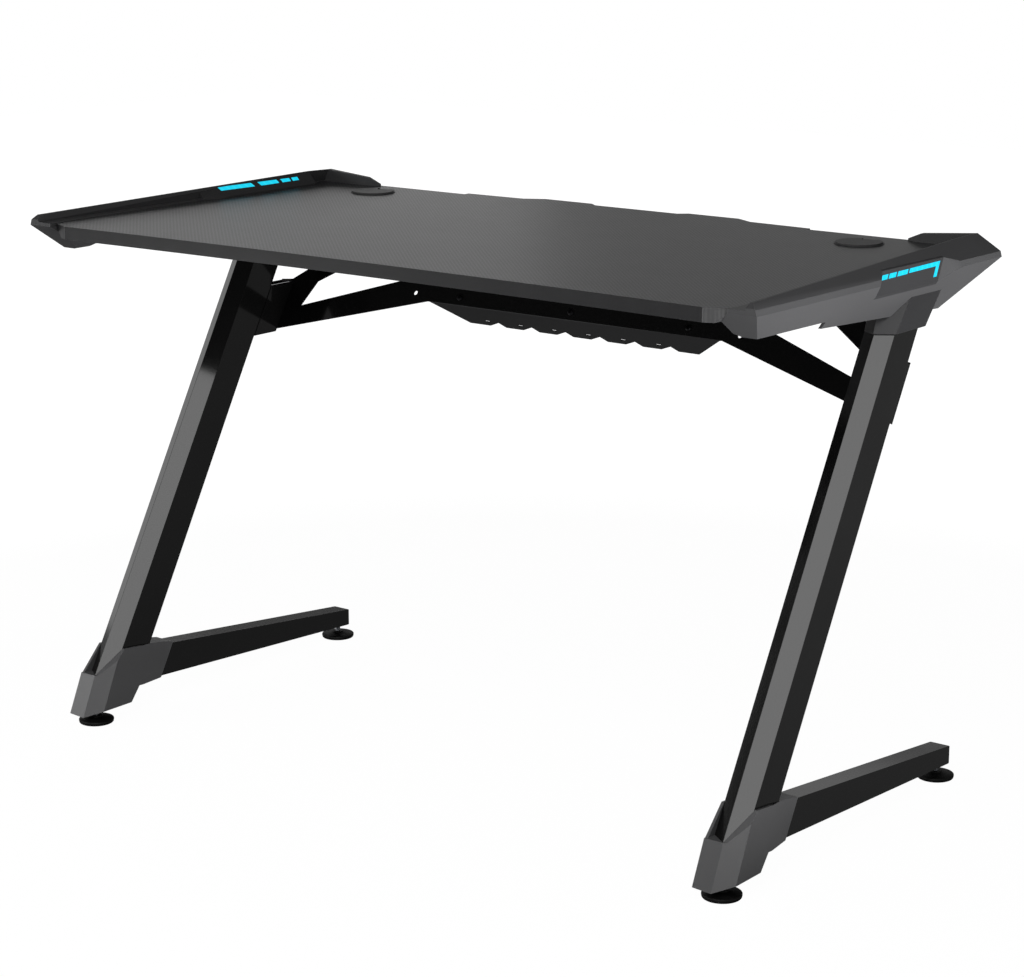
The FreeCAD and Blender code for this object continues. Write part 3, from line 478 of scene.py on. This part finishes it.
@dataclass(frozen=True)
class PadRubber:
    """Hard black rubber with a dry skin."""

    colour: Colour = tone(4, 4, 4)
    dusty: Colour = tone(9, 9, 9)
    specular: float = 0.2
    roughness: float = 0.5
    film: float = 0.012
    film_span: Span = (0.45, 0.75)
    film_share: float = 0.5
    film_dull: float = 0.15
    pores: float = 0.0008
    pore_share: float = 0.3
    pore_depth: float = 0.00004
    pore_strength: float = 0.5

    def material(self) -> bpy.types.Material:
        """Fine pores and a dusty film in patches.

        Returns:
            The material.
        """
        graph = MaterialGraph("pad_rubber")
        pores = graph.noise(self.pores, detail=3.0)
        film = graph.noise(self.film, detail=3.0).ramp(*self.film_span)
        shade = film * self.film_share + pores * self.pore_share
        return graph.finish(
            Base_Color=graph.blend(shade, self.colour, self.dusty),
            Specular_IOR_Level=self.specular,
            Roughness=self.roughness + film * self.film_dull,
            Normal=graph.bump(pores, self.pore_depth, self.pore_strength),
        )


@dataclass(frozen=True)
class PlatedSteel:
    """Steel with a thin metal plating."""

    name: str
    colour: Colour
    dull: Colour
    roughness: float
    spangle: float = 0.0015
    spangle_share: float = 0.4
    patch: float = 0.006
    patch_span: Span = (0.45, 0.7)
    patch_share: float = 0.6
    patch_dull: float = 0.15
    patch_film: float = 0.15

    def material(self) -> bpy.types.Material:
        """Spangled plating that is duller in patches.

        Returns:
            The material.
        """
        graph = MaterialGraph(self.name)
        spangle = graph.noise(self.spangle, detail=3.0)
        patch = graph.noise(self.patch).ramp(*self.patch_span)
        shade = patch * self.patch_share + spangle * self.spangle_share
        return graph.finish(
            Base_Color=graph.blend(shade, self.colour, self.dull),
            Metallic=1 - patch * self.patch_film,
            Roughness=self.roughness + patch * self.patch_dull,
        )


@dataclass(frozen=True)
class CircuitBoard:
    """Solder mask over copper tracks."""

    mask: Colour = tone(16, 60, 38)
    copper: Colour = tone(30, 92, 58)
    track_pitch: float = 0.004
    track_slant: float = 0.2
    track_gap: float = 0.6
    track_share: float = 0.9
    track_height: float = 0.00003
    track_strength: float = 0.4
    weave: float = 0.0008
    weave_share: float = 0.1
    roughness: float = 0.3
    weave_dull: float = 0.1

    def material(self) -> bpy.types.Material:
        """Long tracks that show through the mask.

        Returns:
            The material.
        """
        graph = MaterialGraph("circuit_board")
        _, y, z = graph.parts(graph.place())
        weave = graph.noise(self.weave, detail=1.0)
        track = ((z + y * self.track_slant) / self.track_pitch).fraction().above(self.track_gap)
        shade = track * self.track_share + weave * self.weave_share
        return graph.finish(
            Base_Color=graph.blend(shade, self.mask, self.copper),
            Roughness=self.roughness + weave * self.weave_dull,
            Normal=graph.bump(track, self.track_height, self.track_strength),
        )


class Palette:
    """The finishes of the desk, each made once."""

    def __init__(self) -> None:
        """Make the materials."""
        self.laminate = WovenLaminate().material()
        self.wing = MouldedGrain("wing_grain", tone(51, 51, 52), tone(60, 60, 61)).material()
        self.bezel = MouldedGrain("bezel_grain", tone(35, 35, 36), tone(41, 41, 42), 0.6).material()
        self.cover = MouldedGrain("cover_grain", tone(74, 74, 75), tone(85, 85, 86), 0.4).material()
        # Same plastic as the covers, made darker as painted shade of the wing over the top covers; the
        # foot end caps use it too.
        self.painted_shade_cover = MouldedGrain("collar_grain", tone(28, 28, 29), tone(34, 34, 35), 0.4).material()
        self.outlet = MouldedGrain("outlet_grain", tone(56, 56, 56), tone(66, 66, 66), 0.45).material()
        self.frame = PowderCoat("frame_coat", tone(11, 11, 11), tone(16, 16, 16)).material()
        self.comb = PowderCoat("comb_coat", tone(19, 19, 20), tone(25, 25, 26), 0.36).material()
        self.guide = GlowGuide().material()
        self.rubber = PadRubber().material()
        self.zinc = PlatedSteel("zinc_plate", tone(176, 178, 182), tone(140, 142, 146), 0.28).material()
        self.blackened = PlatedSteel("black_plate", tone(52, 52, 54), tone(36, 36, 38), 0.32).material()
        self.circuit = CircuitBoard().material()


@dataclass(frozen=True)
class Dresser:
    """Gives CAD nodes their finish and adds new pieces to the object."""

    same_plane: float = math.radians(0.3)
    sharp_edge: float = math.radians(24)
    edge_segments: int = 2
    face_weight: int = 100
    crease: float = math.radians(35)

    def paint(self, name: str, material: bpy.types.Material, edge: float = 0.0) -> None:
        """Finish one CAD node.

        Args:
            name: The node.
            material: Its finish.
            edge: Width of the broken edge in metres, or zero to keep the CAD edges.
        """
        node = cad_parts[name]
        node.data.materials.clear()
        node.data.materials.append(material)
        if edge > 0:
            self._break_edges(node, edge)

    def _break_edges(self, node: bpy.types.Object, width: float) -> None:
        """Round the sharp edges with modifiers, which leave the CAD mesh as it is.

        Args:
            node: The CAD node's object.
            width: Width of the broken edge in metres.
        """
        weld = node.modifiers.new("weld", "WELD")
        weld.merge_threshold = SAME_POINT
        flat = node.modifiers.new("flat", "DECIMATE")
        flat.decimate_type = "DISSOLVE"
        flat.angle_limit = self.same_plane
        bevel = node.modifiers.new("edge", "BEVEL")
        bevel.limit_method = "ANGLE"
        bevel.angle_limit = self.sharp_edge
        bevel.width = width
        bevel.segments = self.edge_segments
        shade = node.modifiers.new("shade", "WEIGHTED_NORMAL")
        shade.weight = self.face_weight

    def add(self, name: str, work: bmesh.types.BMesh, material: bpy.types.Material,
            body: str, slot: str, replaced: str) -> None:
        """New piece of the object.

        Args:
            name: Name of the piece.
            work: Its mesh, which is freed here.
            material: Its finish.
            body: CAD body that it moves with.
            slot: Material slot of the record; not used.
            replaced: CAD node that it stands for.
        """
        bmesh.ops.recalc_face_normals(work, faces=work.faces)
        mesh = bpy.data.meshes.new(name)
        work.to_mesh(mesh)
        work.free()
        mesh.shade_smooth()
        mesh.set_sharp_from_angle(angle=self.crease)
        mesh.materials.append(material)
        piece = bpy.data.objects.new(name, mesh)
        bpy.context.scene.collection.objects.link(piece)
        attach(piece, body)
        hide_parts(replaced)


class Lathe:
    """Turned forms added to a mesh, around any axis."""

    def __init__(self, work: bmesh.types.BMesh, base: Vector, axis: Vector, steps: int) -> None:
        """Set up the axis.

        Args:
            work: Mesh that takes the forms.
            base: Point of the axis at height zero.
            axis: Direction of growing height.
            steps: Points around each ring.
        """
        self.work = work
        self.steps = steps
        turn = UP.rotation_difference(axis).to_matrix().to_4x4()
        self.matrix = Matrix.Translation(base) @ turn

    def ring(self, height: float, radius: Callable[[float], float]) -> list[bmesh.types.BMVert]:
        """Loop of points whose radius depends on the angle.

        Args:
            height: Place along the axis.
            radius: Distance from the axis for an angle in radians.

        Returns:
            The points in order.
        """
        loop = []
        for step in range(self.steps):
            angle = 2 * math.pi * step / self.steps
            reach = radius(angle)
            spot = Vector((reach * math.cos(angle), reach * math.sin(angle), height))
            loop.append(self.work.verts.new(self.matrix @ spot))
        return loop

    def circle(self, radius: float, height: float) -> list[bmesh.types.BMVert]:
        """Plain round ring."""
        return self.ring(height, lambda angle: radius)

    def skin(self, rings: Sequence[list[bmesh.types.BMVert]]) -> None:
        """Closed skin over the rings.

        Args:
            rings: The rings in order, from one closed end to the other.
        """
        for low, high in zip(rings, rings[1:]):
            for step in range(self.steps):
                after = (step + 1) % self.steps
                self.work.faces.new((low[step], low[after], high[after], high[step]))
        self.work.faces.new(rings[0])
        self.work.faces.new(rings[-1])


def islands(node: str) -> list[list[Vector]]:
    """Separate solids of a CAD node.

    Args:
        node: The node.

    Returns:
        The points of each solid.
    """
    work = bmesh.new()
    work.from_mesh(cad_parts[node].data)
    bmesh.ops.remove_doubles(work, verts=work.verts, dist=SAME_POINT)
    left = set(work.verts)
    found = []
    while left:
        queue = [left.pop()]
        points = []
        while queue:
            vert = queue.pop()
            points.append(vert.co.copy())
            for edge in vert.link_edges:
                other = edge.other_vert(vert)
                if other in left:
                    left.remove(other)
                    queue.append(other)
        found.append(points)
    work.free()
    return found


def sheet_normal(node: str) -> Vector:
    """Direction of a CAD node's widest face.

    Args:
        node: The node.

    Returns:
        The face's normal, turned towards the rear.
    """
    widest = max(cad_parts[node].data.polygons, key=lambda face: face.area)
    normal = widest.normal.copy()
    return normal if normal.y > 0 else -normal


@dataclass
class Desktop:
    """Board with its two cable outlets."""

    dresser: Dresser
    palette: Palette
    board_edge: float = 0.0008
    outlet_edge: float = 0.0006

    def build(self) -> None:
        """Dress the board, the sleeves and the caps."""
        self.dresser.paint("desktop_board", self.palette.laminate, self.board_edge)
        log.info("board dressed")
        for side in Side:
            for name in ("grommet_sleeve", "grommet_cap"):
                self.dresser.paint(f"{name}_{side.value}", self.palette.outlet, self.outlet_edge)
            log.info("outlet %s dressed", side.value)


@dataclass
class Wing:
    """Moulded side wing with its two light panels."""

    dresser: Dresser
    palette: Palette
    side: Side
    edge: float = 0.0009
    panel_edge: float = 0.0004

    def build(self) -> None:
        """Dress the shell, the bezels, the guides and the circuit boards."""
        label = self.side.value
        self.dresser.paint(f"wing_shell_{label}", self.palette.wing, self.edge)
        for panel in ("outer", "inner"):
            self.dresser.paint(f"{panel}_light_bezel_{label}", self.palette.bezel, self.panel_edge)
            self.dresser.paint(f"{panel}_light_guides_{label}", self.palette.guide)
            self.dresser.paint(f"{panel}_led_board_{label}", self.palette.circuit)
        log.info("wing %s dressed", label)


@dataclass
class LegFrame:
    """Leaning leg with its foot and covers."""

    dresser: Dresser
    palette: Palette
    side: Side
    tube_edge: float = 0.0012
    cover_edge: float = 0.0009
    plate_edge: float = 0.0004

    def build(self) -> None:
        """Dress the steel parts and the moulded covers."""
        label = self.side.value
        for name in ("leg_tube", "foot_tube"):
            self.dresser.paint(f"{name}_{label}", self.palette.frame, self.tube_edge)
        for name in ("leg_base_plate", "leg_top_plate"):
            self.dresser.paint(f"{name}_{label}", self.palette.frame, self.plate_edge)
        self.dresser.paint(f"knee_cover_{label}", self.palette.cover, self.cover_edge)
        # The top covers take the darker copy of the cover plastic, which is painted shade; the foot end
        # caps take it too.
        for name in ("top_cover", "foot_end_cap"):
            self.dresser.paint(f"{name}_{label}", self.palette.painted_shade_cover, self.cover_edge)
        log.info("leg frame %s dressed", label)


@dataclass
class CrossBrace:
    """Rail between the legs, with its arms, brackets and cable comb."""

    dresser: Dresser
    palette: Palette
    sheet_edge: float = 0.0004

    def build(self) -> None:
        """Dress the sheet-metal parts."""
        self.dresser.paint("cross_rail", self.palette.frame, self.sheet_edge)
        for side in Side:
            for name in ("brace_upper_arm", "brace_bracket"):
                self.dresser.paint(f"{name}_{side.value}", self.palette.frame, self.sheet_edge)
        self.dresser.paint("cable_comb", self.palette.comb, self.sheet_edge)
        log.info("cross brace dressed")


@dataclass
class LevellingFoot:
    """Rubber pad on a threaded stud."""

    dresser: Dresser
    palette: Palette
    side: Side
    place: Place
    pad_steps: int = 64
    rim: float = 0.0012
    side_inset: float = 0.0004
    groove: float = 0.0007
    stud_steps: int = 24
    thread_pitch: float = 0.00125
    thread_depth: float = 0.0007
    rings_per_turn: int = 6

    @property
    def end(self) -> str:
        """Ending of the foot's names, such as front_left."""
        return f"{self.place.value}_{self.side.value}"

    def build(self) -> None:
        """Turn the pad and cut the thread."""
        self._pad()
        self._stud()
        log.info("levelling foot %s built", self.end)

    @staticmethod
    def _lathe(node: str, steps: int) -> tuple[Lathe, float, float]:
        """Lathe on the axis of an upright round CAD node.

        Args:
            node: The node.
            steps: Points around each ring.

        Returns:
            The lathe, with height zero at the node's lower end, and the node's radius and height.
        """
        low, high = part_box(node)
        base = Vector(((low.x + high.x) / 2, (low.y + high.y) / 2, low.z))
        return (Lathe(bmesh.new(), base, UP, steps), (high.x - low.x) / 2, high.z - low.z)

    def _pad(self) -> None:
        """Pad with a rolled rim, a groove under it and a coned neck, as (radius, height) pairs."""
        node = f"foot_pad_{self.end}"
        lathe, radius, height = self._lathe(node, self.pad_steps)
        side = radius - self.side_inset
        waist = side - self.groove
        hollow = [(radius * 0.55, 0.0012), (radius * 0.6, 0.0003)]
        sole = [(radius - 0.003, 0.0), (radius - 0.0012, 0.0004), (side, 0.0014)]
        groove = [(waist, 0.0020), (waist, 0.0026)]
        rim = [(radius, 0.0032), (radius, 0.0050)]
        roll = [(radius - self.rim * 0.4, 0.0058), (radius - self.rim, 0.0061)]
        cone = [(radius * 0.72, 0.0070), (radius * 0.45, 0.0086), (radius * 0.36, 0.0092)]
        neck = [(radius * 0.352, height - 0.0006), (radius * 0.33, height)]
        profile = hollow + sole + groove + rim + roll + cone + neck
        lathe.skin([lathe.circle(reach, rise) for reach, rise in profile])
        self.dresser.add(f"pad_{self.end}", lathe.work, self.palette.rubber,
                         f"foot_{self.end}", "pad_rubber", node)

    def _stud(self) -> None:
        """Stud with a helical thread between chamfered ends."""
        node = f"foot_stud_{self.end}"
        lathe, radius, height = self._lathe(node, self.stud_steps)
        chamfer = self.thread_depth
        root = radius - self.thread_depth
        length = height - 2 * chamfer
        rows = math.ceil(length / self.thread_pitch * self.rings_per_turn)
        rings = [lathe.circle(root, 0.0)]
        for row in range(rows + 1):
            rise = chamfer + length * row / rows
            rings.append(lathe.ring(rise, lambda angle, level=rise: self._crest(radius, level, angle)))
        rings.append(lathe.circle(root, height))
        lathe.skin(rings)
        self.dresser.add(f"stud_{self.end}", lathe.work, self.palette.zinc,
                         f"foot_{self.end}", "zinc_steel", node)

    def _crest(self, radius: float, level: float, angle: float) -> float:
        """Radius of the helical thread at a height and an angle."""
        phase = (level / self.thread_pitch - angle / (2 * math.pi)) % 1.0
        return radius - self.thread_depth * abs(2 * phase - 1)


@dataclass
class Fasteners:
    """Screws and bolts built where their CAD solids are, and the dressed nuts of the feet."""

    dresser: Dresser
    palette: Palette
    nut_edge: float = 0.0003
    steps: int = 40
    head_height: float = 0.0026
    head_curve: tuple[Span, ...] = ((0.74, 0.03), (0.9, 0.2), (0.98, 0.5), (1.0, 0.8), (1.0, 1.0))
    head_share: float = 0.9
    recess_depth: float = 0.0015
    recess_share: float = 0.52
    recess_taper: float = 0.82
    lip_depth: float = 0.25
    lip_share: float = 0.05
    shank_share: float = 0.47
    tip_share: float = 0.3

    def build(self) -> None:
        """Build every group of fasteners and dress the nuts."""
        rear = sheet_normal("cross_rail")
        self._group("board_screws", UP, Drive.CROSS, self.palette.zinc, "zinc_steel")
        self._group("wing_screws", UP, Drive.CROSS, self.palette.blackened, "black_steel")
        self._group("comb_screws", rear, Drive.CROSS, self.palette.blackened, "black_steel")
        self._group("brace_bolts", rear, Drive.HEX, self.palette.blackened, "black_steel")
        self.dresser.paint("foot_inserts", self.palette.zinc, self.nut_edge)
        log.info("foot_inserts dressed")

    def _group(self, node: str, axis: Vector, drive: Drive, material: bpy.types.Material,
               slot: str) -> None:
        """One piece with all the fasteners of a node.

        Args:
            node: The CAD node that the piece replaces.
            axis: Direction of the fasteners.
            drive: Form of their recesses.
            material: Their finish.
            slot: Material slot of the record.
        """
        work = bmesh.new()
        solids = islands(node)
        for points in solids:
            self._fastener(work, points, axis, drive)
        self.dresser.add(f"{node}_turned", work, material, "desk", slot, node)
        log.info("%s: %d built", node, len(solids))

    def _fastener(self, work: bmesh.types.BMesh, points: Sequence[Vector], axis: Vector,
                  drive: Drive) -> None:
        """Head with a recess and a shank, inside the CAD solid's envelope.

        Args:
            work: Mesh that takes the fastener.
            points: Points of its CAD solid.
            axis: Its direction.
            drive: Form of the recess.
        """
        heights = [point.dot(axis) for point in points]
        middle = sum(points, Vector()) / len(points)
        foot = middle - axis * middle.dot(axis)
        reach = [(point - foot - axis * level).length for point, level in zip(points, heights)]
        radius = max(reach)
        low = min(heights)
        high = max(heights)
        wide = [level for level, away in zip(heights, reach) if away > radius * self.head_share]
        head_low = sum(wide) / len(wide) < (low + high) / 2
        base = foot + axis * (low if head_low else high)
        lathe = Lathe(work, base, axis if head_low else -axis, self.steps)
        size = radius * self.recess_share
        lip = radius * self.lip_share
        rings = [
            lathe.ring(self.recess_depth, lambda angle: drive.radius(angle, size) * self.recess_taper),
            lathe.ring(self.recess_depth * self.lip_depth, lambda angle: drive.radius(angle, size)),
            lathe.ring(0.0, lambda angle: drive.radius(angle, size) + lip),
        ]
        for share, drop in self.head_curve:
            rings.append(lathe.circle(radius * share, self.head_height * drop))
        shank = radius * self.shank_share
        rings.append(lathe.circle(shank, self.head_height))
        rings.append(lathe.circle(shank, high - low - shank))
        rings.append(lathe.circle(shank * self.tip_share, high - low))
        lathe.skin(rings)


@dataclass(frozen=True)
class SoftBox:
    """Rectangular studio lamp in metres and watts, mirrored in the desk or only lighting it."""

    name: str
    place: Vector
    aim: Vector
    width: float
    height: float
    power: float
    mirrored: bool = True

    def build(self) -> None:
        """Hang the lamp so that it faces its aim."""
        light = bpy.data.lights.new(self.name, "AREA")
        light.shape = "RECTANGLE"
        light.size = self.width
        light.size_y = self.height
        light.energy = self.power
        lamp = bpy.data.objects.new(self.name, light)
        lamp.location = self.place
        lamp.rotation_euler = (self.aim - self.place).to_track_quat("-Z", "Y").to_euler()
        lamp.visible_glossy = self.mirrored
        bpy.context.scene.collection.objects.link(lamp)


@dataclass
class Studio:
    """White room, lamps and camera of the photograph."""

    aim: Vector = Vector((0.02522, -0.02083, 0.38671))
    stand: Vector = Vector((2.2037, -2.8644, 1.2697))
    lens: float = 94.10
    view_end: float = 60.0
    room: float = 0.08
    room_mirrored: float = 0.04
    floor_size: float = 14.0
    floor_dark: Colour = tone(160, 160, 160)
    floor_light: Colour = tone(168, 168, 168)
    floor_mottle: float = 0.4
    floor_roughness: float = 0.9
    floor_seen: float = 0.9
    floor_mirrored: float = 0.15
    floor_glow: float = 1.085
    shadow_reach: float = 1.3
    shadow_end: float = 2.6

    @staticmethod
    def lamps() -> list[SoftBox]:
        """The soft boxes around the desk.

        Returns:
            The lamps, each with its name, place, aim, width, height and power.
        """
        centre = Vector((0.02, -0.02, 0.42))
        left_shoe = Vector((-0.45, -0.28, 0.12))
        over_right = Vector((2.3, -0.399, 1.0))
        return [
            SoftBox("key", Vector((1.3, -2.35, 2.25)), Vector((1.3, 0.4, 0.4)), 3.2, 1.7, 62.0),
            SoftBox("floor_right", Vector((2.3, -0.4, 0.02)), over_right, 2.0, 2.4, 260.0, mirrored=False),
            SoftBox("wall_right", Vector((4.6, 0.2, 1.0)), centre, 4.0, 2.0, 16.0),
            SoftBox("low_back_right", Vector((2.6, 1.9, 0.35)), centre, 1.0, 0.6, 20.0, mirrored=False),
            SoftBox("low_front_right", Vector((1.2, -2.9, 0.3)), centre, 1.0, 0.6, 9.0),
            SoftBox("low_front_left", Vector((-1.0, -0.95, 0.3)), left_shoe, 0.6, 0.4, 1.9),
            SoftBox("mid_front_left", Vector((-2.7, -2.4, 1.3)), centre, 1.4, 1.0, 13.0),
            SoftBox("high_front_left", Vector((-2.1, -1.9, 2.5)), centre, 1.2, 1.2, 0.8),
            SoftBox("wall_left", Vector((-4.6, -1.4, 1.0)), centre, 4.0, 2.0, 12.0),
            SoftBox("side_left", Vector((-2.3, 0.45, 0.43)), Vector((0.0, 0.45, 0.43)), 0.9, 0.84, 1.2),
            SoftBox("back_left", Vector((-3.86, 3.48, 1.6)), centre, 2.2, 1.4, 7.6),
            SoftBox("back", Vector((-2.1, 4.75, 1.6)), centre, 2.2, 1.4, 3.0),
            SoftBox("back_low", Vector((-1.6, 4.75, 0.45)), centre, 2.4, 0.6, 1.2),
        ]

    def build(self) -> None:
        """Set up the world, the floor, the lamps and the camera."""
        self._world()
        self._floor()
        for lamp in self.lamps():
            lamp.build()
        self._camera()
        log.info("studio built")

    def _world(self) -> None:
        """White where it is seen, dim where it lights, and a little brighter where it is mirrored."""
        world = bpy.data.worlds.new("room")
        bpy.context.scene.world = world
        world.use_nodes = True
        graph = Graph(world.node_tree, "Background")
        seen, mirrored = graph.rays()
        level = self.room + seen * (1 - self.room) + mirrored * self.room_mirrored
        graph.shade(Color=WHITE, Strength=level)

    def _floor(self) -> None:
        """Grey sheet that is white to the camera, dim where it is mirrored, and keeps a faint shadow."""
        half = self.floor_size / 2
        corners = [(-half, -half, 0), (half, -half, 0), (half, half, 0), (-half, half, 0)]
        mesh = bpy.data.meshes.new("floor")
        mesh.from_pydata(corners, [], [(0, 1, 2, 3)])
        graph = MaterialGraph("floor_paper")
        mottle = graph.noise(self.floor_mottle)
        material = graph.finish(
            Base_Color=graph.blend(mottle, self.floor_dark, self.floor_light),
            Roughness=self.floor_roughness,
        )
        seen, mirrored = graph.rays()
        centre = graph.node("ShaderNodeVectorMath", {"operation": "LENGTH"}, {0: graph.place()})
        away = graph.term(centre, "Value").ramp(self.shadow_reach, self.shadow_end)
        level = seen * self.floor_glow + mirrored * self.floor_mirrored
        glow = graph.node("ShaderNodeEmission", {}, {"Color": WHITE, "Strength": level})
        share = seen * (self.floor_seen + away * (1 - self.floor_seen)) + mirrored
        layers = {0: share, 1: graph.term(graph.shader), 2: graph.term(glow)}
        mix = graph.node("ShaderNodeMixShader", {}, layers)
        graph.feed(graph.tree.nodes["Material Output"].inputs["Surface"], graph.term(mix))
        mesh.materials.append(material)
        floor = bpy.data.objects.new("floor", mesh)
        bpy.context.scene.collection.objects.link(floor)

    def _camera(self) -> None:
        """Camera at the place worked out from the photograph."""
        data = bpy.data.cameras.new("photo_camera")
        data.lens = self.lens
        data.clip_end = self.view_end
        camera = bpy.data.objects.new("photo_camera", data)
        camera.location = self.stand
        camera.rotation_euler = (self.aim - self.stand).to_track_quat("-Z", "Y").to_euler()
        bpy.context.scene.collection.objects.link(camera)
        bpy.context.scene.camera = camera
        bpy.context.scene.view_settings.view_transform = "Standard"


def main() -> None:
    """Build the desk piece by piece, then the studio."""
    logging.basicConfig(level=logging.INFO, format="%(name)s: %(message)s")
    palette = Palette()
    dresser = Dresser()
    Desktop(dresser, palette).build()
    for side in Side:
        Wing(dresser, palette, side).build()
        LegFrame(dresser, palette, side).build()
        for place in Place:
            LevellingFoot(dresser, palette, side, place).build()
    CrossBrace(dresser, palette).build()
    Fasteners(dresser, palette).build()
    Studio().build()


if __name__ == "__main__":
    main()
